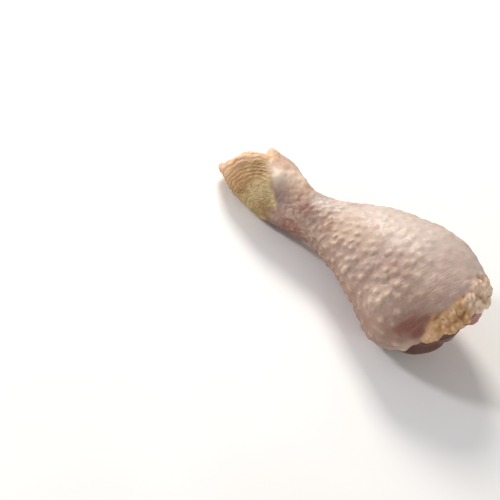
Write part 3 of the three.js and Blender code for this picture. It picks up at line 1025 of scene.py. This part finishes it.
meat_shader = add(tree, "ShaderNodeBsdfPrincipled", {"subsurface_method": "RANDOM_WALK"},
                  Base_Color=colour, Roughness=patchy_roughness(tree, 3, 0.28, 0.46), IOR=1.4,
                  Normal=fibre_bump, Subsurface_Weight=0.35, Subsurface_Radius=(1.0, 0.3, 0.2),
                  Subsurface_Scale=1.8 * MM, Coat_Weight=0.2, Coat_Roughness=0.12)
add(tree, "ShaderNodeOutputMaterial", Surface=meat_shader)
print("meat material nodes:", len(tree.nodes))

# %% [markdown]
# ### Sawn bone with marrow
# The hard shell is pinkish white and the marrow inside is dark red, wet and spongy, with paler flecks of
# bone about 0.8 mm across. Two materials would meet in a hard line, so it is one, and a mask lets them run
# together.

# %% Bone material
tree = start("sawn_bone_and_marrow", bone.data)
hard = tint(tree, "#d3b9a9", "#b98f83", speckle(tree, 2))
soft = tint(tree, "#6d2320", "#8f3b34", speckle(tree, 2.5))
soft = tint(tree, soft, "#c98d83", mask(tree, "sponge", 0.7, 1.0), 0.7)
colour = tint(tree, hard, soft, mask(tree, "marrow", 0.2, 0.8))
pits = add(tree, "ShaderNodeBump", Strength=0.5, Distance=0.3 * MM, Height=speckle(tree, 0.8, 2.0))
bone_shader = add(tree, "ShaderNodeBsdfPrincipled", Base_Color=colour, IOR=1.45, Normal=pits,
                  Roughness=patchy_roughness(tree, 1.5, 0.22, 0.5), Coat_Weight=0.3, Coat_Roughness=0.15)
add(tree, "ShaderNodeOutputMaterial", Surface=bone_shader)
print("bone material nodes:", len(tree.nodes))

# %% [markdown]
# ## Tie the pieces to the part
# Each piece rides on the part's one body, and the plain CAD node that it replaces is hidden. Parenting by
# hand would move it too; attach also makes the body's empty when it is missing.

# %% Ride and replace
for piece, name in ((skin, "skin"), (meat, "meat"), (bone, "bone")):
    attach(piece, "root")
    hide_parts(name)

# %% [markdown]
# ## Floor, light and camera
# A plain pale floor and three soft lights make a calm studio. An image of a sky could light it, but lamps
# can be placed one by one. The main light stands beyond the drumstick and high over it, so that every goose
# bump has a bright and a dark side. A smaller one on the left is like a window, and a large weak card near
# the knee opens the shadows.

# %% Floor
FLOOR_HALF = 1.5
ground = bmesh.new()
bmesh.ops.create_grid(ground, x_segments=1, y_segments=1, size=FLOOR_HALF)
floor_mesh = bpy.data.meshes.new("floor")
ground.to_mesh(floor_mesh)
ground.free()
floor = new_object("floor", floor_mesh)
tree = start("matt_white_board", floor_mesh)
board = tint(tree, "#f6f5f3", "#fbfaf9", speckle(tree, 60))
floor_shader = add(tree, "ShaderNodeBsdfPrincipled", Base_Color=board, Roughness=0.8, Specular_IOR_Level=0.1)
add(tree, "ShaderNodeOutputMaterial", Surface=floor_shader)
print("floor, m across:", 2 * FLOOR_HALF)

# %% Camera
AZIMUTH, ELEVATION, ROLL = map(math.radians, (18, 44, 29.76))
TARGET = Vector((-0.02342, -0.0263, 0.00159))  # the middle of the view
DISTANCE = 0.543
level = Vector((math.cos(AZIMUTH), math.sin(AZIMUTH), 0))
away = Vector((math.sin(AZIMUTH), -math.cos(AZIMUTH), 0))
back = away * math.cos(ELEVATION) + Vector((0, 0, math.sin(ELEVATION)))  # from the target to the camera
upright = back.cross(level)
right = level * math.cos(ROLL) + upright * math.sin(ROLL)
above = upright * math.cos(ROLL) - level * math.sin(ROLL)
camera = new_object("camera", bpy.data.cameras.new("camera"))
camera.data.lens = 100
camera.data.clip_start = 0.05
turned = Matrix((right, above, back)).transposed().to_4x4()
camera.matrix_world = Matrix.Translation(TARGET + back * DISTANCE) @ turned
bpy.context.scene.camera = camera
print("camera stands at, m:", [round(value, 3) for value in camera.matrix_world.translation])

# %% Lights
LIGHT_DISTANCE = 0.9


def soft_light(name, direction, size, watts, code):
    """A square area light that stands in a direction and faces the drumstick."""
    lamp = bpy.data.lights.new(name, "AREA")
    lamp.size, lamp.energy, lamp.color = size, watts, linear(code)[:3]
    stand = new_object(name, lamp)
    away = direction.normalized()
    stand.location = Vector((0, 0, 0.02)) + away * LIGHT_DISTANCE
    stand.rotation_mode = "QUATERNION"
    stand.rotation_quaternion = away.to_track_quat("Z", "Y")
    print(name, "watts:", watts)


soft_light("main_light", above - right * 0.05, 0.3, 6.9, "#fffaf2")
soft_light("window_light", above * 0.5 - right * 0.6 + back * 0.45, 0.12, 4.2, "#f6f8ff")
soft_light("knee_card", right * 0.7 - above * 0.45 + back * 0.55, 0.5, 1.8, "#fffdf8")
world = bpy.data.worlds.new("pale_room")
world.use_nodes = True
room_light = world.node_tree.nodes["Background"].inputs
room_light["Color"].default_value = linear("#f4f3f2")
room_light["Strength"].default_value = 0.38
bpy.context.scene.world = world
bpy.context.scene.view_settings.view_transform = "Standard"
